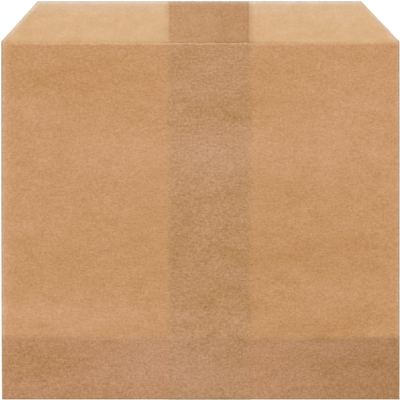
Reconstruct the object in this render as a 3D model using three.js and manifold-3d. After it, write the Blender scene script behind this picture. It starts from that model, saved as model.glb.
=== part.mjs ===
// A flat brown paper bag, made of one sheet of kraft paper. The sheet is glued into a tube by a seam
// on the back, pressed flat with a fold at each side, and its lower end is turned up onto the back
// and glued. At the mouth the back panel stands past the front one as a lip with cut corners.
//
// The bag lies on its back, front panel up, mouth towards +Y. The origin is under the middle of the
// bag, on the surface that it lies on. Millimetres.
import * as THREE from "three";
import { mergeVertices } from "three/addons/utils/BufferGeometryUtils.js";
import Module from "manifold-3d";

const wasm = await Module();
wasm.setup();

// Driving dimensions: the panels
const bagWidth = 178;
const frontLength = 159.4;
const lipHeight = 18.6;
const paperThickness = 0.07;

// The glued seam on the back: the sheet's outer edge is at its left, its inner edge at its right
const seamOverlap = 35.8;
const seamOffset = 3.7;
const seamDrape = 1.2;

// The lower end, turned up onto the back and glued
const turnUpHeight = 27.6;
const turnUpPlies = 2;
const settleLength = 3;
const creaseLength = 4;

// The mouth: the knife cuts the lip's corners and rounds the front panel's
const lipCutHeight = 18;
const lipCutLeft = 16.3;
const lipCutRight = 17.1;
const frontCornerWidth = 2.7;
const frontCornerDrop = 1.7;

// How far the two panels stand apart: at the side folds, more in the middle, less at the mouth
const sideGap = 0.3;
const mouthSideGap = 0.1;
const bodyLoft = 1.6;
const mouthLoft = 0.3;
const closeLength = 20;
const riseLength = 70;
const mouthLength = 60;

// The mesh: how finely folds are rounded and panels divided, and how upright a cut edge stands
const foldSteps = 3;
const panelStep = 12;
const rampSteps = 3;
const cutSlant = 0.02;
const knifeReach = 1;

const halfWidth = bagWidth / 2;
const bagLength = frontLength + lipHeight;
const bottomY = -bagLength / 2;
const seamLeft = seamOffset - seamOverlap / 2;
const seamRight = seamOffset + seamOverlap / 2;
const noseRadius = turnUpPlies * paperThickness;
const knifeTop = 2 * (sideGap + bodyLoft) + knifeReach;

const paper = new THREE.MeshStandardMaterial({ color: 0xc8966b, roughness: 0.88, metalness: 0 });

// A step from 0 to 1 that starts and ends level.
function ease(share) {
  return THREE.MathUtils.smoothstep(share, 0, 1);
}

// Evenly spaced values from one place up to the next, without the last one.
function spread(from, to, count) {
  return Array.from({ length: count }, (_, i) => from + ((to - from) * i) / count);
}

// The same, with as many values as keep each step within panelStep.
function panelSpread(from, to) {
  return spread(from, to, Math.max(1, Math.ceil((to - from) / panelStep)));
}

// 1 where the seam's two layers overlap, falling to 0 beside it, where the sheet drapes off it.
function seamCover(x) {
  return ease((x - seamLeft + seamDrape) / seamDrape) * ease((seamRight + seamDrape - x) / seamDrape);
}

// How high the turned-up end lifts the back panel, at the distance v up from the bottom fold.
function backLift(x, v) {
  const lift = 1 - ease((v - turnUpHeight) / settleLength);
  return lift * paperThickness * (turnUpPlies + seamCover(x));
}

// Clear height between the two panels.
function gapAt(x, v) {
  const across = (1 - (x / halfWidth) ** 2) ** 2;
  const towardsMouth = ease((v - frontLength + mouthLength) / mouthLength);
  const atSides = THREE.MathUtils.lerp(sideGap, mouthSideGap, towardsMouth);
  const loft = THREE.MathUtils.lerp(bodyLoft, mouthLoft, towardsMouth);
  return atSides * ease(v / closeLength) + loft * across * ease(v / riseLength);
}

// The sheet's faces from the lowest to the highest. Left of the seam the back panel is the inner
// layer, which climbs over the outer layer's edge. Right of the seam it is the outer layer alone.
function backUnderside(x, v) {
  const climb = x < seamLeft ? paperThickness * seamCover(x) : 0;
  return backLift(x, v) + climb;
}

function backTop(x, v) {
  const innerLayer = x <= seamRight ? paperThickness * seamCover(x) : 0;
  return backLift(x, v) + paperThickness + innerLayer;
}

function frontUnderside(x, v) {
  return backLift(x, v) + paperThickness * (1 + seamCover(x)) + gapAt(x, v);
}

function frontTop(x, v) {
  return frontUnderside(x, v) + paperThickness;
}

// Places across the panels where a section has a point: closer at the seam's edges and drapes.
const columns = [
  ...panelSpread(-halfWidth + panelStep / 2, seamLeft - seamDrape),
  ...spread(seamLeft - seamDrape, seamLeft - cutSlant, rampSteps),
  seamLeft - cutSlant,
  ...panelSpread(seamLeft, seamRight),
  seamRight,
  ...spread(seamRight + cutSlant, seamRight + seamDrape, rampSteps),
  ...panelSpread(seamRight + seamDrape, halfWidth - panelStep / 2),
  halfWidth - panelStep / 2,
];

// A section across the bag, rounded at both side folds: for each place its x, low and high height.
function foldedSection(reach, lowAt, highAt) {
  const middle = (lowAt(reach) + highAt(reach)) / 2;
  const radius = (highAt(reach) - lowAt(reach)) / 2;
  const arc = Array.from({ length: foldSteps + 1 }, (_, i) => {
    const angle = (Math.PI / 2) * (i / foldSteps);
    return { x: reach - radius + radius * Math.cos(angle), rise: radius * Math.sin(angle) };
  });
  const leftFold = arc.map(({ x, rise }) => [-x, middle - rise, middle + rise]);
  const rightFold = arc.map(({ x, rise }) => [x, middle - rise, middle + rise]).reverse();
  return [...leftFold, ...columns.map((x) => [x, lowAt(x), highAt(x)]), ...rightFold];
}

// A closed solid through sections at given distances up the bag.
function loftSolid(sections) {
  const width = sections[0].row.length;
  const positions = sections.flatMap(({ v, row }) =>
    row.flatMap(([x, low, high]) => [x, bottomY + v, low, x, bottomY + v, high]),
  );
  const lowOf = (line, column) => 2 * (line * width + column);
  const highOf = (line, column) => lowOf(line, column) + 1;
  const triangles = [];
  const quad = (a, b, c, d) => triangles.push(a, b, c, a, c, d);
  const last = sections.length - 1;
  const edge = width - 1;
  for (let line = 0; line < last; line += 1) {
    for (let i = 0; i < edge; i += 1) {
      quad(lowOf(line, i), lowOf(line + 1, i), lowOf(line + 1, i + 1), lowOf(line, i + 1));
      quad(highOf(line, i), highOf(line, i + 1), highOf(line + 1, i + 1), highOf(line + 1, i));
    }
    quad(lowOf(line, 0), highOf(line, 0), highOf(line + 1, 0), lowOf(line + 1, 0));
    quad(lowOf(line, edge), lowOf(line + 1, edge), highOf(line + 1, edge), highOf(line, edge));
  }
  for (let i = 0; i < edge; i += 1) {
    quad(lowOf(0, i), lowOf(0, i + 1), highOf(0, i + 1), highOf(0, i));
    quad(lowOf(last, i), highOf(last, i), highOf(last, i + 1), lowOf(last, i + 1));
  }
  const geometry = new THREE.BufferGeometry();
  geometry.setAttribute("position", new THREE.Float32BufferAttribute(positions, 3));
  geometry.setIndex(triangles);
  return weld(geometry);
}

// A solid of a closed geometry: points that share a place become one, and triangles that thereby
// lose their area are left out.
function weld(geometry) {
  geometry.deleteAttribute("normal");
  geometry.deleteAttribute("uv");
  const merged = mergeVertices(geometry);
  const corners = Array.from(merged.index.array);
  const kept = [];
  for (let i = 0; i < corners.length; i += 3) {
    const [a, b, c] = corners.slice(i, i + 3);
    if (a !== b && b !== c && c !== a) kept.push(a, b, c);
  }
  return new wasm.Manifold(
    new wasm.Mesh({
      numProp: 3,
      vertProperties: merged.attributes.position.array,
      triVerts: new Uint32Array(kept),
    }),
  );
}

// An upright prism over an outline seen from above.
function prism(shape, low, high) {
  const geometry = new THREE.ExtrudeGeometry(shape, {
    depth: high - low,
    bevelEnabled: false,
    curveSegments: 2 * foldSteps,
  });
  return weld(geometry.translate(0, 0, low));
}

// Distances up from the bottom fold where the panels have a section, above the creased end.
const panelStations = [
  ...panelSpread(creaseLength + cutSlant, turnUpHeight),
  ...spread(turnUpHeight, turnUpHeight + settleLength, rampSteps),
  ...panelSpread(turnUpHeight + settleLength, frontLength),
  ...panelSpread(frontLength, bagLength),
  bagLength,
];

// The folded sheet without its inside: the bottom fold's round nose, the creased end where all plies
// lie pressed together, and the two panels up to the lip's top edge.
function outerBody() {
  const stackHeight = (x) => 2 * paperThickness * (turnUpPlies + seamCover(x));
  const nose = spread(0, Math.PI / 2, foldSteps + 1).slice(1).map((angle) => {
    const lowAt = (x) => (stackHeight(x) / 2) * (1 - Math.sin(angle));
    const highAt = (x) => (stackHeight(x) / 2) * (1 + Math.sin(angle));
    return { v: noseRadius * (1 - Math.cos(angle)), row: foldedSection(halfWidth, lowAt, highAt) };
  });
  const crease = [noseRadius, creaseLength].map((v) => ({
    v,
    row: foldedSection(halfWidth, () => 0, (x) => frontTop(x, v)),
  }));
  const panels = panelStations.map((v) => ({
    v,
    row: foldedSection(halfWidth, (x) => backUnderside(x, v), (x) => frontTop(x, v)),
  }));
  return loftSolid([...nose, ...crease, ...panels]);
}

// The turned-up end under the back panel. Its glued face reaches half way into that panel's wall.
function turnedUpEnd() {
  const glueDepth = paperThickness / 2;
  const stations = [...panelSpread(creaseLength / 2, turnUpHeight), turnUpHeight];
  return loftSolid(
    stations.map((v) => ({
      v,
      row: foldedSection(halfWidth, () => 0, (x) => backUnderside(x, v) + glueDepth),
    })),
  );
}

// The inside of the bag, from the creased end out past the lip.
function inside() {
  const stations = [creaseLength, ...panelStations, bagLength + knifeReach];
  return loftSolid(
    stations.map((v) => ({
      v,
      row: foldedSection(
        halfWidth - paperThickness,
        (x) => backTop(x, v),
        (x) => frontUnderside(x, v),
      ),
    })),
  );
}

// What the knife takes off the front panel, so that the back one stands past it: everything above
// the middle of the gap, behind an outline that rounds the front panel's two corners.
function frontKnife() {
  const reach = halfWidth + knifeReach;
  const middleAt = (x, v) => (backTop(x, v) + frontUnderside(x, v)) / 2;
  const stations = [...panelStations.filter((v) => v > turnUpHeight), bagLength + knifeReach];
  const upperHalf = loftSolid(
    stations.map((v) => ({
      v,
      row: [-reach, ...columns, reach].map((x) => [
        x,
        middleAt(THREE.MathUtils.clamp(x, -halfWidth, halfWidth), v),
        knifeTop,
      ]),
    })),
  );
  const frontY = bottomY + frontLength;
  const farY = bottomY + bagLength + knifeReach;
  const cornerY = frontY - frontCornerDrop;
  const cornerX = halfWidth - frontCornerWidth;
  const outline = new THREE.Shape();
  outline.moveTo(-reach, farY);
  outline.lineTo(-reach, cornerY);
  outline.lineTo(-halfWidth, cornerY);
  outline.absellipse(-cornerX, cornerY, frontCornerWidth, frontCornerDrop, Math.PI, Math.PI / 2, true);
  outline.absellipse(cornerX, cornerY, frontCornerWidth, frontCornerDrop, Math.PI / 2, 0, true);
  outline.lineTo(reach, cornerY);
  outline.lineTo(reach, farY);
  return upperHalf.intersect(prism(outline, -knifeReach, knifeTop + knifeReach));
}

// The corner that is cut off the lip at one side, +1 for the right and -1 for the left.
function lipCorner(side, cutWidth) {
  const low = new THREE.Vector2(side * halfWidth, bottomY + bagLength - lipCutHeight);
  const high = new THREE.Vector2(side * (halfWidth - cutWidth), bottomY + bagLength);
  const along = high.clone().sub(low).normalize().multiplyScalar(2 * knifeReach);
  const start = low.clone().sub(along);
  const end = high.clone().add(along);
  return prism(new THREE.Shape([start, end, new THREE.Vector2(start.x, end.y)]), -knifeReach, knifeTop);
}

function paperBag() {
  const solid = outerBody()
    .add(turnedUpEnd())
    .subtract(inside())
    .subtract(frontKnife())
    .subtract(lipCorner(-1, lipCutLeft))
    .subtract(lipCorner(1, lipCutRight));
  const { vertProperties, triVerts } = solid.getMesh();
  const geometry = new THREE.BufferGeometry();
  geometry.setAttribute("position", new THREE.Float32BufferAttribute(vertProperties, 3));
  geometry.setIndex(Array.from(triVerts));
  geometry.computeVertexNormals();
  const mesh = new THREE.Mesh(geometry, paper);
  mesh.name = "paper_bag";
  return mesh;
}

const bag = new THREE.Group();
bag.add(paperBag());

export default bag;
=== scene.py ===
# A flat brown paper bag: one folded sheet of kraft paper on its back, mouth towards +Y.
# Dictionaries hold millimetres unless they say otherwise; meshes and cameras are in metres.
import math

import bpy
import numpy as np
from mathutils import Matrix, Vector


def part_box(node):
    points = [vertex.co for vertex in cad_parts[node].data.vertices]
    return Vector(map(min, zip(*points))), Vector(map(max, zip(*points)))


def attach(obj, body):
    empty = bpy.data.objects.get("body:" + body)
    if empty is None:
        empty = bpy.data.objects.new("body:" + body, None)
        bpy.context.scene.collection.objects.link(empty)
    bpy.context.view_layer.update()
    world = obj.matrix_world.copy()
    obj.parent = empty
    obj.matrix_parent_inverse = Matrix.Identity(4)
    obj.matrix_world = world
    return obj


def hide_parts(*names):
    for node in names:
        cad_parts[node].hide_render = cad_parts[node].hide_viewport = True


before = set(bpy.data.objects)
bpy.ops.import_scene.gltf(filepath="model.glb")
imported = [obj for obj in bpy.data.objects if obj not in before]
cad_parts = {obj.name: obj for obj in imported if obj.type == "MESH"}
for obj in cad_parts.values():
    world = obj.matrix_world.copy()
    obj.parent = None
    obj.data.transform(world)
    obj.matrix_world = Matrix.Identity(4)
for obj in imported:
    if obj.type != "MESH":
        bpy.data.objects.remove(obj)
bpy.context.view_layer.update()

mm = 0.001
bagLow, bagHigh = (np.array(corner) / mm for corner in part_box("paper_bag"))
bagWidth = bagHigh[0] - bagLow[0]
bagLength = bagHigh[1] - bagLow[1]
bottomY = bagLow[1]
halfWidth = bagWidth / 2
print("frame: bag", round(bagWidth, 1), "x", round(bagLength, 1), "mm")


# the folded sheet
sheet = {
    "thickness": 0.07,
    "plySpacing": 0.085,       # from one pressed ply to the next, middle to middle
    "lipHeight": 18.6,         # back panel past the front one
    "seamOverlap": 35.8,
    "seamOffset": 3.7,         # seam's middle, right of the bag's
    "seamDrape": 1.2,
    "turnUp": 27.6,
    "settle": 3.0,             # length in which the back panel comes down off the turned-up end
    "lipCutHeight": 18.0,
    "lipCutLeft": 16.3,
    "lipCutRight": 17.1,
    "frontCornerWidth": 2.7,
    "frontCornerDrop": 1.7,
    "sideGap": 0.3,            # between the panels beside the side folds
    "mouthSideGap": 0.07,
    "bodyLoft": 1.6,           # how much more the panels stand apart in the middle
    "mouthLoft": 0.06,
    "mouthLift": 0.45,         # where the seam holds the mouth a little open
    "mouthLiftWidth": 24.0,
    "close": 20.0,
    "rise": 70.0,
    "mouth": 60.0,
    "leftLean": 0.45,          # the left fold leans in above the bottom fold
    "leanLength": 68.0,
    "longWave": 0.10,          # heights of the paper's waves and of the crinkles behind the mouth
    "shortWave": 0.025,
    "crinkle": 0.06,
    "edgeWave": 0.2,           # the front panel's cut edge over the seam: its waves and its dip
    "edgeDip": 0.3,
    "edgeRagged": 0.04,
    "lipRagged": 0.07,
    "columnStep": 0.95,
    "rowStep": 2.3,
    "nearFold": 3.0,           # columns end this far from the side folds
    "evenRowsEnd": 9.0,        # evenly spaced rows end this far before the front panel's edge
    "lipRows": 18,             # rows between the evenly spaced ones and the cut edges
    "foldSteps": 8,
    "sharpAngle": 60,          # degrees
}
frontLength = bagLength - sheet["lipHeight"]
seamLeft = sheet["seamOffset"] - sheet["seamOverlap"] / 2
seamRight = sheet["seamOffset"] + sheet["seamOverlap"] / 2


def ease(share):
    # 0 to 1 with level ends: three times the share squared, less twice its cube
    s = np.clip(share, 0, 1)
    return s * s * (3 - 2 * s)


def ticks(stops, step):
    # places from stop to stop, evenly spaced and no more than a step apart
    runs = [np.linspace(a, b, max(1, math.ceil(abs(b - a) / step)), endpoint=False)
            for a, b in zip(stops[:-1], stops[1:])]
    return np.concatenate(runs + [stops[-1:]])


def ripple(x, y, seed, lengthX, lengthY, count=7):
    # sum of count sine waves of random phase, with lengths near lengthX and lengthY, over
    # sqrt(2 * count): about -1 to 1
    draw = np.random.default_rng(seed)
    turnsX, turnsY = draw.normal(0, 1, (2, count))
    phases = draw.uniform(0, 1, count)
    total = np.zeros(np.broadcast(x, y).shape)
    for acrossX, acrossY, phase in zip(turnsX / lengthX, turnsY / lengthY, phases):
        total += np.sin(2 * math.pi * (x * acrossX + y * acrossY + phase))
    return total / math.sqrt(2 * count)


def seamCover(x):
    # 1 over the seam's overlap, easing to 0 on both sides of it
    drape = sheet["seamDrape"]
    return ease((x - seamLeft + drape) / drape) * ease((seamRight + drape - x) / drape)


def frontEdgeHeight(x):
    # Front panel's cut edge: its length with fine waves and a crinkled dip over the seam. Each corner
    # is a quarter ellipse: drop = D * (1 - sqrt(1 - reach^2)), reach going 0 to 1 across its width.
    fromCorner = sheet["frontCornerWidth"] - halfWidth + np.abs(x)
    reach = np.clip(fromCorner / sheet["frontCornerWidth"], 0, 1)
    drop = sheet["frontCornerDrop"] * (1 - np.sqrt(1 - reach ** 2))
    wave = sheet["edgeWave"] * ripple(x, 0, 5, 9, 1) - sheet["edgeDip"]
    crinkled = np.exp(-((x - 8) / 24) ** 2) * wave
    ragged = sheet["edgeRagged"] * ripple(x, 0, 6, 3, 1)
    return frontLength - drop + (crinkled + ragged) * (1 - reach)


def lipCuts(x):
    # heights of the lip's two slanting cuts and its level top, and the cosines of their slopes
    slopes = [sheet["lipCutHeight"] / sheet[side] for side in ("lipCutLeft", "lipCutRight")]
    corner = bagLength - sheet["lipCutHeight"]
    left = corner + (halfWidth + x) * slopes[0]
    right = corner + (halfWidth - x) * slopes[1]
    top = bagLength - 0.1 + 0 * x
    return [left, right, top], [1 / math.hypot(1, slopes[0]), 1 / math.hypot(1, slopes[1]), 1.0]


def lipEdgeHeight(x):
    # the lowest of the lip's three cuts, finely ragged
    ragged = np.where(np.abs(x) < halfWidth - 1, sheet["lipRagged"] * ripple(x, 0, 8, 1.9, 1), 0)
    return np.minimum.reduce(lipCuts(x)[0]) + ragged


def fromLipEdge(x, up):
    # distance from the nearest of the lip's cuts, square to it
    return np.minimum.reduce([(cut - up) * cosine for cut, cosine in zip(*lipCuts(x))])


def cockle(x, up, towardsMouth):
    # long waves across the whole panel, short ones over them, and crinkles behind the lifted mouth
    fromCrinkle = ((x - 16) / 16) ** 2 + ((frontLength - up) / 7) ** 2
    long = sheet["longWave"] * ripple(x, up, 21, 120, 26) * (1 - towardsMouth)
    short = sheet["shortWave"] * ripple(x, up, 22, 26, 10) * (1 - 0.6 * towardsMouth)
    return long + short + sheet["crinkle"] * np.exp(-fromCrinkle) * ripple(x, up, 23, 6, 9)


def sheetAcross():
    # The sheet from its outer edge round the right fold, over the front, round the left fold and to
    # its inner edge. share: -1 to 1 between the folds; angle: -90 degrees on the back, 90 in front.
    foldSteps = sheet["foldSteps"]
    step = sheet["columnStep"]
    lipLeft = sheet["lipCutLeft"] - halfWidth
    lipRight = halfWidth - sheet["lipCutRight"]
    nearFold = halfWidth - sheet["nearFold"]
    outer = ticks([seamLeft, seamRight, lipRight, nearFold, halfWidth], step)
    front = ticks([halfWidth, nearFold, -nearFold, -halfWidth], step)
    inner = ticks([-halfWidth, -nearFold, lipLeft, seamLeft, seamRight], step)
    turn = np.linspace(-math.pi / 2, math.pi / 2, foldSteps + 1)[1:-1]
    fold = np.ones(turn.size)
    share = np.concatenate([outer / halfWidth, fold, front / halfWidth, -fold, inner / halfWidth])
    angle = np.concatenate([outer * 0 - math.pi / 2, turn, front * 0 + math.pi / 2, turn[::-1],
                            inner * 0 - math.pi / 2])
    side = np.sign(share) * (np.abs(share) > 0.999)
    inFront = np.concatenate([outer * 0, fold * 0, front * 0 + 1, fold * 0, inner * 0])
    overSeam = np.concatenate([outer * 0, fold * 0, front * 0 + 1, fold, inner * 0 + 1])
    return share, angle, side, inFront, overSeam


def sheetUp():
    # distance up the bag from the bottom fold, negative on the turned-up end; how far the sheet has
    # turned round the fold; and share of the way from the last even row to the cut edge
    turnUp = sheet["turnUp"]
    lastEven = frontLength - sheet["evenRowsEnd"]
    flap = ticks([-turnUp, 0.0], sheet["rowStep"])
    turn = np.linspace(math.pi, 0, sheet["foldSteps"] + 1)[1:-1]
    body = ticks([0.0, turnUp - 1, turnUp, turnUp + sheet["settle"], lastEven], sheet["rowStep"])
    lip = np.linspace(0, 1, sheet["lipRows"] + 1)[1:]
    v = np.concatenate([flap, turn * 0, body, lip * 0 + lastEven])
    bend = np.concatenate([flap * 0 + math.pi, turn, body * 0, lip * 0])
    toEdge = np.concatenate([flap * 0, turn * 0, body * 0, lip])
    return v, bend, toEdge


def sheetMiddle():
    # Middle surface of the folded sheet as rows (up the bag) by columns (across the sheet).
    # Across: x = share * (half width - R) + side * R cos(angle), height = R + R sin(angle) + what
    # lifts that layer, with R half the spacing of the two panels at the side folds.
    # Up: a ply at height h over the fold's middle turns round it: y = -h sin(bend), z = h cos(bend).
    share, angle, side, inFront, overSeam = sheetAcross()
    v, bend, toEdge = (column[:, None] for column in sheetUp())
    ply = sheet["plySpacing"]
    x0 = share * halfWidth
    frontShare = (np.sin(angle) + 1) / 2
    cutEdge = lipEdgeHeight(x0) * (1 - frontShare) + frontEdgeHeight(x0) * frontShare
    up = v + toEdge * (cutEdge - v)
    high = np.maximum(up, 0)
    towardsMouth = ease((up - frontLength + sheet["mouth"]) / sheet["mouth"])
    atSides = sheet["sideGap"] + (sheet["mouthSideGap"] - sheet["sideGap"]) * towardsMouth
    radius = (ply + atSides * ease(high / sheet["close"])) / 2
    x = share * (halfWidth - radius) + side * radius * np.cos(angle)
    across = (1 - share ** 2) ** 2
    lifted = np.exp(-((x - sheet["seamOffset"]) / sheet["mouthLiftWidth"]) ** 2)
    atMouth = sheet["mouthLoft"] + sheet["mouthLift"] * lifted
    loft = sheet["bodyLoft"] + (atMouth - sheet["bodyLoft"]) * towardsMouth
    loft = loft * ease(high / sheet["rise"])
    loft = (loft + cockle(x, up, towardsMouth) * ease(high / sheet["close"])) * across
    cover = seamCover(x)
    height = ply / 2 + radius + radius * np.sin(angle) + ply * cover * overSeam + loft * inFront
    centre = ply * (2 + cover)
    lift = 1 - ease((up - sheet["turnUp"]) / sheet["settle"])
    y = bottomY + 2 * ply + np.abs(up) - height * np.sin(bend)
    z = centre * lift + height * np.cos(bend)
    x = x + sheet["leftLean"] * np.exp(-high / sheet["leanLength"]) * (1 - share) / 2
    rim = np.where(frontShare < 0.5, fromLipEdge(x0, up), cutEdge - up)
    rim = np.minimum(rim, v + sheet["turnUp"])
    middle = np.stack(np.broadcast_arrays(x, y, z), axis=-1)
    return middle, np.broadcast_to(frontShare, x.shape), rim


def makeSheet(name):
    # Both faces stand half a thickness off the middle surface along its normal, the cross product
    # of its two directions, and a strip round the border joins them.
    middle, frontShare, rim = sheetMiddle()
    rows, columns = middle.shape[:2]
    normal = np.cross(np.gradient(middle, axis=1), np.gradient(middle, axis=0))
    normal /= np.linalg.norm(normal, axis=-1, keepdims=True)
    offset = normal * sheet["thickness"] / 2
    outside, inside = (middle - offset).reshape(-1, 3), (middle + offset).reshape(-1, 3)
    index = np.arange(rows * columns).reshape(rows, columns)
    cells = np.stack([index[:-1, :-1], index[:-1, 1:], index[1:, 1:], index[1:, :-1]], axis=-1)
    cells = cells.reshape(-1, 4)
    border = np.concatenate([index[0, :-1], index[:-1, -1], index[-1, :0:-1], index[:0:-1, 0]])
    after = np.roll(border, -1)
    other = rows * columns
    strip = np.stack([border, after, after + other, border + other], axis=-1)
    faces = np.concatenate([cells[:, ::-1], cells + other, strip])
    mesh = bpy.data.meshes.new(name)
    mesh.from_pydata((np.concatenate([outside, inside]) * mm).tolist(), [], faces.tolist())
    onFront = frontShare.reshape(-1)
    fields = {
        "front": np.tile(onFront, 2),
        "rim": np.tile(rim.reshape(-1), 2),
        "inside": np.repeat([0.0, 1.0], other),
        "pulp": np.tile(pulpClouds(middle[..., 0], middle[..., 1]).reshape(-1) * onFront, 2),
    }
    for key, values in fields.items():
        attribute = mesh.attributes.new(key, "FLOAT", "POINT")
        attribute.data.foreach_set("value", values.astype(np.float32))
    mesh.polygons.foreach_set("use_smooth", np.ones(len(faces), bool))
    mesh.update()
    mesh.set_sharp_from_angle(angle=math.radians(sheet["sharpAngle"]))
    print("sheet:", rows, "rows,", columns, "columns,", 2 * len(faces), "triangles")
    return mesh


# the paper: sRGB colours by the number of layers behind the surface
paper = {
    "lip": (217, 176, 132),
    "lipTop": (219, 184, 147),
    # the lip over the seam; also the tone that the lip's painted shade blends towards
    "lipSeamLeft": (197, 150, 108),
    "lipSeamRight": (190, 143, 100),
    "body": (199, 149, 104),
    "bodySeam": (189, 143, 102),
    "end": (186, 138, 98),
    "endRight": (173, 127, 85),
    "endSeam": (183, 138, 98),
    # painted shadow along the seam's inner cut edge on the lip
    "seamStepShadow": (150, 110, 78),
    "lipEdge": (229, 213, 196),
    "lipLine": (186, 175, 163),
    # the front panel's cut edge: paler paper with a painted highlight
    "frontEdge": (219, 172, 129),
    # painted highlights close to the folds, pale and warm
    "foldPaleHighlight": (222, 190, 160),
    "foldWarmHighlight": (212, 162, 121),
    "foldLine": (168, 143, 121),
    # grey fold lines on the right and bottom, darkened with painted shade where the fold rolls away
    "rightLineAndShade": (172, 137, 104),
    "bottomLineAndShade": (160, 127, 94),
    "shive": (126, 88, 55),
    "grainTint": (0.77, 1.0, 1.36),    # how much grain changes red, green and blue
    "cloudTint": (0.32, 0.45, 1.0),
    "cloudLevel": 0.19,
    "fineCloudLevel": 0.60,
    "mottleLevel": 0.12,
    "lipMottleLevel": 0.20,
    "grainLevel": 0.50,
    "fibreLevel": 0.20,
    "fineFibreLevel": 0.22,
    "shiveLevel": 0.3,
    "seamBlurLeft": 4.0,       # millimetres over which edges behind the front panel fade
    "seamBlurRight": 3.4,
    "endBlur": 3.0,
    "lipFringe": 2.5,          # millimetres that the pale lip edges and the front edge's pale paper and painted highlight reach in
    "frontFringe": 1.6,
    "lessEndFoldHighlightAndShade": 0.85,       # how much of the folds' painted highlights and shade the thick end lacks
    "roughness": 0.86,
    "bumpStrength": 0.35,
    "bumpHeight": 0.06,
}

# paler (+) and browner (-) clouds in the front panel: x, y, half width, half height, strength
pulpSpots = [
    (-74, 40, 14, 6, 0.9), (-38, 22, 22, 11, 0.8), (4, 20, 16, 8, 0.9), (53, 22, 32, 12, 0.8),
    (-54, -51, 36, 6, 1.1), (71, 47, 18, 12, 0.5), (-9, -74, 38, 10, 0.9), (9, 56, 12, 7, 0.15),
    (56, -40, 12, 4, 0.6), (-74, -13, 14, 3, 0.6), (-56, 54, 34, 12, -1.0), (16, 41, 22, 6, -0.75),
    (40, 56, 13, 8, -0.6), (31, 0, 42, 8, -0.6), (45, -23, 46, 11, -1.2), (18, -44, 34, 6, -0.8),
    (65, -53, 12, 7, -0.8), (-69, -71, 20, 8, -1.0), (-50, -27, 42, 15, -0.5),
    (-45, -65, 40, 4, 0.35), (56, -66, 32, 4, 0.7), (56, -58, 30, 5, -0.85),
    (20, -68, 22, 7, -0.7),
]


def pulpClouds(x, y):
    # sum of soft spots, each strength * exp(-(dx/w)^2 - (dy/h)^2), with their outlines made uneven
    x = x + 5 * ripple(x, y, 41, 30, 14)
    y = y + 3 * ripple(x, y, 42, 30, 12)
    total = np.zeros(x.shape)
    for spotX, spotY, width, height, strength in pulpSpots:
        total += strength * np.exp(-((x - spotX) / width) ** 2 - ((y - spotY) / height) ** 2)
    return total


def linear(rgb):
    # sRGB 0-255 to linear light
    c = np.array(rgb) / 255
    return (*np.where(c <= 0.04045, c / 12.92, ((c + 0.055) / 1.055) ** 2.4), 1.0)


def makeNode(tree, kind, inputs, **settings):
    # one shader node: each input is a socket to link or a value to set
    made = tree.nodes.new(kind)
    for key, value in settings.items():
        setattr(made, key, value)
    for key, value in inputs.items():
        if isinstance(value, bpy.types.NodeSocket):
            tree.links.new(value, made.inputs[key])
        else:
            made.inputs[key].default_value = value
    return made


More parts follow.
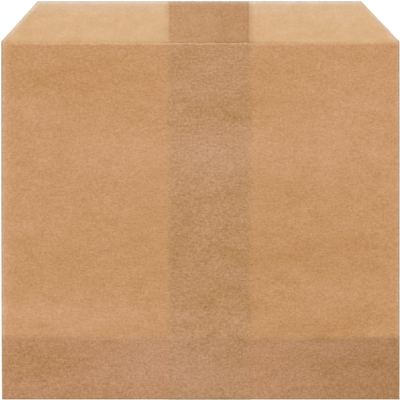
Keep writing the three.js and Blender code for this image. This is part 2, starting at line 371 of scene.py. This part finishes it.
def makePaper():
    material = bpy.data.materials.new("kraftPaper")
    material.use_nodes = True
    tree = material.node_tree
    shader = tree.nodes["Principled BSDF"]

    def calc(operation, a, b=0.0):
        return makeNode(tree, "ShaderNodeMath", {0: a, 1: b}, operation=operation).outputs[0]

    def blend(factor, a, b):
        a, b = (linear(c) if isinstance(c, tuple) else c for c in (a, b))
        return makeNode(tree, "ShaderNodeMix", {0: factor, 6: a, 7: b}, data_type="RGBA").outputs[2]

    def rampUp(value, low, high, top=1.0):
        inputs = {"Value": value, "From Min": low, "From Max": high, "To Min": 0.0, "To Max": top}
        return makeNode(tree, "ShaderNodeMapRange", inputs, interpolation_type="SMOOTHSTEP").outputs[0]

    def fadeOut(value, low, high, top=1.0, rest=0.0):
        # top up to low, rest from high on
        return calc("SUBTRACT", top, rampUp(value, low, high, top - rest))

    def step(value, place, width):
        # 0 to 1 across a place, over a width that may be a socket
        return rampUp(calc("DIVIDE", calc("SUBTRACT", value, place), width), -0.5, 0.5)

    def noise(stretch, scale, detail, roughness=0.5, turn=0.0):
        # about -0.5 to 0.5; stretch makes it finer along an axis
        inputs = {"Vector": place, "Scale": stretch, "Rotation": (0, 0, turn)}
        vector = makeNode(tree, "ShaderNodeMapping", inputs).outputs[0]
        inputs = {"Vector": vector, "Scale": scale, "Detail": detail, "Roughness": roughness}
        return calc("SUBTRACT", makeNode(tree, "ShaderNodeTexNoise", inputs).outputs[0], 0.5)

    def field(name):
        return makeNode(tree, "ShaderNodeAttribute", {}, attribute_name=name).outputs["Fac"]

    def tinted(tint, value):
        inputs = {0: paper[tint], "Scale": value}
        return makeNode(tree, "ShaderNodeVectorMath", inputs, operation="SCALE").outputs[0]

    def joined(operation, a, b):
        return makeNode(tree, "ShaderNodeVectorMath", {0: a, 1: b}, operation=operation).outputs[0]

    place = makeNode(tree, "ShaderNodeTexCoord", {}).outputs["Object"]
    axes = makeNode(tree, "ShaderNodeSeparateXYZ", {"Vector": place}).outputs
    x, y = (calc("MULTIPLY", axes[k], 1 / mm) for k in (0, 1))
    rim = field("rim")
    inFront = rampUp(field("front"), 0.3, 0.7)
    onBack = calc("SUBTRACT", 1.0, inFront)
    inside = rampUp(field("inside"), 0.4, 0.6)

    # where layers lie behind: an edge on the near side is crisp, one seen through the paper is blurred
    throughPaper = calc("MAXIMUM", inFront, calc("SUBTRACT", 1.0, inside))
    wander = calc("MULTIPLY", noise((1, 1, 1), 90.0, 3.0), calc("MULTIPLY", inFront, 2.5))
    blurLeft = calc("ADD", calc("MULTIPLY", inside, 0.7), 0.1)
    blurLeft = calc("ADD", calc("MULTIPLY", inFront, paper["seamBlurLeft"]), blurLeft)
    blurRight = calc("ADD", throughPaper, calc("MULTIPLY", inFront, paper["seamBlurRight"]))
    blurRight = calc("ADD", blurRight, 0.1)
    blurEnd = calc("ADD", calc("MULTIPLY", inFront, paper["endBlur"]), 0.15)
    seamX = calc("ADD", x, wander)
    fromSeamLeft = step(seamX, calc("ADD", calc("MULTIPLY", inFront, 0.4), seamLeft), blurLeft)
    fromSeamRight = step(seamX, calc("ADD", calc("MULTIPLY", inFront, 0.8), seamRight), blurRight)
    seam = calc("SUBTRACT", fromSeamLeft, fromSeamRight)
    end = calc("SUBTRACT", 1.0, step(calc("ADD", y, wander), bottomY + sheet["turnUp"], blurEnd))
    underFront = calc("SUBTRACT", 1.0, step(y, bottomY + frontLength - 1.0, 1.5))
    doubled = calc("MAXIMUM", inFront, underFront)

    # colour by layers: the lip is one layer, the body two, the end four, and the seam adds one; the
    # lip carries painted shade beside the seam and just over the front panel's edge
    upLip = rampUp(y, bottomY + frontLength + 6, bottomY + bagLength + 3)
    overFront = calc("SUBTRACT", y, bottomY + frontLength)
    # painted shade on the lip beside the seam, stronger on its right, and just over the front panel's
    # edge
    besideSeam = calc("MAXIMUM", calc("SUBTRACT", seamLeft, x), calc("SUBTRACT", x, seamRight))
    onRight = calc("ADD", calc("MULTIPLY", step(x, sheet["seamOffset"], 1.0), 0.25), 0.3)
    seamShade = calc("MULTIPLY", fadeOut(besideSeam, 0.0, 3.0), onRight)
    frontShade = calc("MULTIPLY", fadeOut(overFront, 0.0, 2.2, 0.16), fadeOut(x, 22.0, 30.0))
    shade = calc("ADD", seamShade, frontShade)
    lipSeam = blend(rampUp(x, seamLeft, seamRight), paper["lipSeamLeft"], paper["lipSeamRight"])
    lipTone = blend(upLip, paper["lip"], paper["lipTop"])
    lipTone = blend(calc("MAXIMUM", seam, calc("MULTIPLY", shade, inside)), lipTone, lipSeam)
    bodyTone = blend(seam, paper["body"], paper["bodySeam"])
    endPlain = blend(rampUp(x, 20.0, 85.0), paper["end"], paper["endRight"])
    endTone = blend(seam, endPlain, paper["endSeam"])
    tone = blend(doubled, lipTone, blend(end, bodyTone, endTone))

    # cut edges: a pale fringe on the lip, thinner where the seam doubles it and grey on the very
    # edge, and in front a narrow line of paler cut paper with a painted highlight, weaker to the right
    lipFringe = calc("MULTIPLY", fadeOut(rim, -0.3, paper["lipFringe"], 0.8), onBack)
    lipFringe = calc("MULTIPLY", lipFringe, calc("SUBTRACT", 1.0, calc("MULTIPLY", seam, 0.55)))
    lipFringe = calc("MULTIPLY", lipFringe, fadeOut(x, 66.0, 74.0, 1.0, 0.5))
    tone = blend(lipFringe, tone, paper["lipEdge"])
    tone = blend(calc("MULTIPLY", fadeOut(rim, 0.1, 0.6, 0.35), onBack), tone, paper["lipLine"])
    # the front edge's pale line and painted highlight, narrower over the seam and weaker to the right
    fromFrontEdge = calc("MULTIPLY", rim, calc("ADD", calc("MULTIPLY", seam, 0.5), 1.0))
    frontFringe = calc("MULTIPLY", fadeOut(fromFrontEdge, 0.2, paper["frontFringe"]), inFront)
    frontFringe = calc("MULTIPLY", frontFringe, calc("SUBTRACT", 1.0, rampUp(x, -30.0, 25.0, 0.3)))
    tone = blend(frontFringe, tone, paper["frontEdge"])
    # a thin painted shadow along the seam's right cut edge, where the inner sheet steps down onto the
    # lip
    seamStepShadow = calc("SUBTRACT", step(x, seamRight - 0.4, 0.3), step(x, seamRight, 0.2))
    seamStepShadow = calc("MULTIPLY", calc("MULTIPLY", seamStepShadow, inside), calc("MULTIPLY", onBack, 0.25))
    tone = blend(seamStepShadow, tone, paper["seamStepShadow"])

    # folds: painted highlights, warm and pale, close to the fold, less on the thick end; a thin grey
    # line on it, with painted shade on the right and bottom folds
    foldHighlightAndShadeLevel = calc("SUBTRACT", 1.0, calc("MULTIPLY", end, paper["lessEndFoldHighlightAndShade"]))
    fromLeft = calc("ADD", x, halfWidth)
    fromRight = calc("SUBTRACT", halfWidth, x)
    fromBottom = calc("SUBTRACT", y, bottomY)
    warm = calc("MAXIMUM", fadeOut(fromLeft, 1.0, 6.0, 0.5), fadeOut(fromRight, 0.4, 2.0, 0.15))
    tone = blend(calc("MULTIPLY", warm, foldHighlightAndShadeLevel), tone, paper["foldWarmHighlight"])
    pale = calc("MAXIMUM", fadeOut(fromLeft, 0.4, 2.2, 0.45), fadeOut(fromRight, 0.4, 1.6, 0.25))
    tone = blend(calc("MULTIPLY", pale, foldHighlightAndShadeLevel), tone, paper["foldPaleHighlight"])
    tone = blend(fadeOut(fromLeft, 0.2, 1.2, 0.75), tone, paper["foldLine"])
    # darker lines on the right and bottom folds: a grey crease line with painted shade where the fold
    # turns away from the light
    rightLineAndShade = calc("MULTIPLY", fadeOut(fromRight, 0.2, 1.0, 0.7), foldHighlightAndShadeLevel)
    tone = blend(rightLineAndShade, tone, paper["rightLineAndShade"])
    rightEndLineAndShade = calc("MULTIPLY", fadeOut(fromRight, 0.1, 1.0, 0.8), end)
    bottomLineAndShade = calc("MAXIMUM", fadeOut(fromBottom, 0.1, 1.0, 0.8), rightEndLineAndShade)
    tone = blend(bottomLineAndShade, tone, paper["bottomLineAndShade"])

    # shives: sparse short brown fibres, too thin to see from far away
    fleck = noise((1, 6, 1), 520.0, 1.0, 0.5, math.radians(18))
    crossFleck = noise((6, 1, 1), 470.0, 1.0, 0.5, math.radians(-27))
    fleck = rampUp(calc("MAXIMUM", fleck, crossFleck), 0.21, 0.25, paper["shiveLevel"])
    tone = blend(fleck, tone, paper["shive"])

    # clouds, mottling, grain and fibres as factors round 1, stronger where more layers show through
    clouds = calc("ADD", calc("MULTIPLY", field("pulp"), paper["cloudLevel"]),
                  calc("MULTIPLY", noise((1, 2.2, 1), 60.0, 3.0, 0.75), paper["fineCloudLevel"]))
    layers = calc("MAXIMUM", seam, calc("MULTIPLY", end, doubled))
    clouds = calc("MULTIPLY", clouds, calc("ADD", calc("MULTIPLY", layers, 0.35), 1.0))
    level = calc("ADD", calc("MULTIPLY", doubled, 0.75), calc("MULTIPLY", layers, 0.7))
    level = calc("ADD", level, 0.65)
    lessMottle = paper["lipMottleLevel"] - paper["mottleLevel"]
    mottleLevel = calc("SUBTRACT", paper["lipMottleLevel"], calc("MULTIPLY", doubled, lessMottle))
    mottle = calc("MULTIPLY", noise((1, 1.3, 1), 150.0, 2.0), mottleLevel)
    grain = calc("MULTIPLY", noise((1, 1, 1), 1100.0, 2.0, 0.6), paper["grainLevel"])
    fibreA = noise((1, 7, 1), 420.0, 2.0, 0.6, math.radians(34))
    fibreB = noise((1, 7, 1), 380.0, 2.0, 0.6, math.radians(-62))
    fibres = calc("MULTIPLY", calc("ADD", fibreA, fibreB), paper["fibreLevel"])
    fineA = noise((1, 8, 1), 1500.0, 2.0, 0.6, math.radians(12))
    fineB = noise((1, 8, 1), 1400.0, 2.0, 0.6, math.radians(-74))
    fineFibres = calc("MULTIPLY", calc("ADD", fineA, fineB), paper["fineFibreLevel"])
    texture = calc("ADD", mottle, calc("MULTIPLY", calc("ADD", grain, fibres), level))
    texture = calc("ADD", texture, fineFibres)
    factor = joined("ADD", tinted("grainTint", texture), tinted("cloudTint", clouds))
    factor = joined("ADD", factor, (1.0, 1.0, 1.0))
    tree.links.new(joined("MULTIPLY", tone, factor), shader.inputs["Base Color"])

    rough = calc("ADD", paper["roughness"], calc("MULTIPLY", grain, 0.4))
    tree.links.new(rough, shader.inputs["Roughness"])
    shader.inputs["Specular IOR Level"].default_value = 0.3
    height = calc("ADD", calc("ADD", grain, fibres), fineFibres)
    inputs = {"Height": height, "Strength": paper["bumpStrength"], "Distance": paper["bumpHeight"] * mm}
    bump = makeNode(tree, "ShaderNodeBump", inputs)
    tree.links.new(bump.outputs[0], shader.inputs["Normal"])
    print("paper: material made")
    return material


def makeBag():
    bag = bpy.data.objects.new("kraftBag", makeSheet("kraftBag"))
    bpy.context.scene.collection.objects.link(bag)
    bag.data.materials.append(makePaper())
    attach(bag, "root")
    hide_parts("paper_bag")


# the studio
studio = {
    "floorSize": 4.0,          # metres
    "floorColour": (232, 232, 232),
    "floorGlow": 0.25,
    "skyLevel": 0.73,
    "sunLevel": 1.08,
    "sunSpread": 50,           # degrees
    "sunTilt": (-35, -14),     # degrees about X and Y: the lamp stands off towards +Y and -X
    "cameraHeight": 1.5,       # metres
    "frameWidth": 178.83,      # millimetres across the picture
    "frameMiddle": (-0.12, 0.15),
}


def seenByCamera(tree):
    # 1 for camera, glossy and transmission rays
    rays = makeNode(tree, "ShaderNodeLightPath", {}).outputs
    total = rays["Is Camera Ray"]
    for kind in ("Is Glossy Ray", "Is Transmission Ray"):
        inputs = {0: total, 1: rays[kind]}
        total = makeNode(tree, "ShaderNodeMath", inputs, operation="MAXIMUM").outputs[0]
    return total


def makeFloor():
    half = studio["floorSize"] / 2
    mesh = bpy.data.meshes.new("floor")
    corners = [(-half, -half, 0), (half, -half, 0), (half, half, 0), (-half, half, 0)]
    mesh.from_pydata(corners, [], [(0, 1, 2, 3)])
    floor = bpy.data.objects.new("floor", mesh)
    bpy.context.scene.collection.objects.link(floor)
    material = bpy.data.materials.new("floorWhite")
    material.use_nodes = True
    tree = material.node_tree
    shader = tree.nodes["Principled BSDF"]
    shader.inputs["Base Color"].default_value = linear(studio["floorColour"])
    shader.inputs["Roughness"].default_value = 0.9
    shader.inputs["Specular IOR Level"].default_value = 0.0
    shader.inputs["Emission Color"].default_value = (1, 1, 1, 1)
    inputs = {0: seenByCamera(tree), 1: studio["floorGlow"]}
    glow = makeNode(tree, "ShaderNodeMath", inputs, operation="MULTIPLY")
    tree.links.new(glow.outputs[0], shader.inputs["Emission Strength"])
    mesh.materials.append(material)


def makeLight():
    world = bpy.data.worlds.new("studioWorld")
    bpy.context.scene.world = world
    world.use_nodes = True
    tree = world.node_tree
    sky = tree.nodes["Background"]
    sky.inputs["Color"].default_value = (1, 1, 1, 1)
    sky.inputs["Strength"].default_value = studio["skyLevel"]
    white = makeNode(tree, "ShaderNodeBackground", {"Color": (1, 1, 1, 1), "Strength": 1.0})
    inputs = {0: seenByCamera(tree), 1: sky.outputs[0], 2: white.outputs[0]}
    mixed = makeNode(tree, "ShaderNodeMixShader", inputs)
    tree.links.new(mixed.outputs[0], tree.nodes["World Output"].inputs["Surface"])
    sun = bpy.data.lights.new("softSun", "SUN")
    sun.energy = studio["sunLevel"]
    sun.angle = math.radians(studio["sunSpread"])
    lamp = bpy.data.objects.new("softSun", sun)
    tiltY, tiltX = (math.radians(tilt) for tilt in studio["sunTilt"])
    lamp.rotation_euler = (tiltY, tiltX, 0)
    bpy.context.scene.collection.objects.link(lamp)


def makeCamera():
    lens = bpy.data.cameras.new("overhead")
    lens.sensor_width = 36
    lens.lens = lens.sensor_width * studio["cameraHeight"] / (studio["frameWidth"] * mm)
    lens.clip_end = 20
    camera = bpy.data.objects.new("overhead", lens)
    middleX, middleY = studio["frameMiddle"]
    camera.location = (middleX * mm, middleY * mm, studio["cameraHeight"])
    bpy.context.scene.collection.objects.link(camera)
    bpy.context.scene.camera = camera


makeCamera()
makeFloor()
makeLight()
makeBag()
bpy.context.scene.view_settings.view_transform = "Standard"
print("studio: camera, floor and light set")
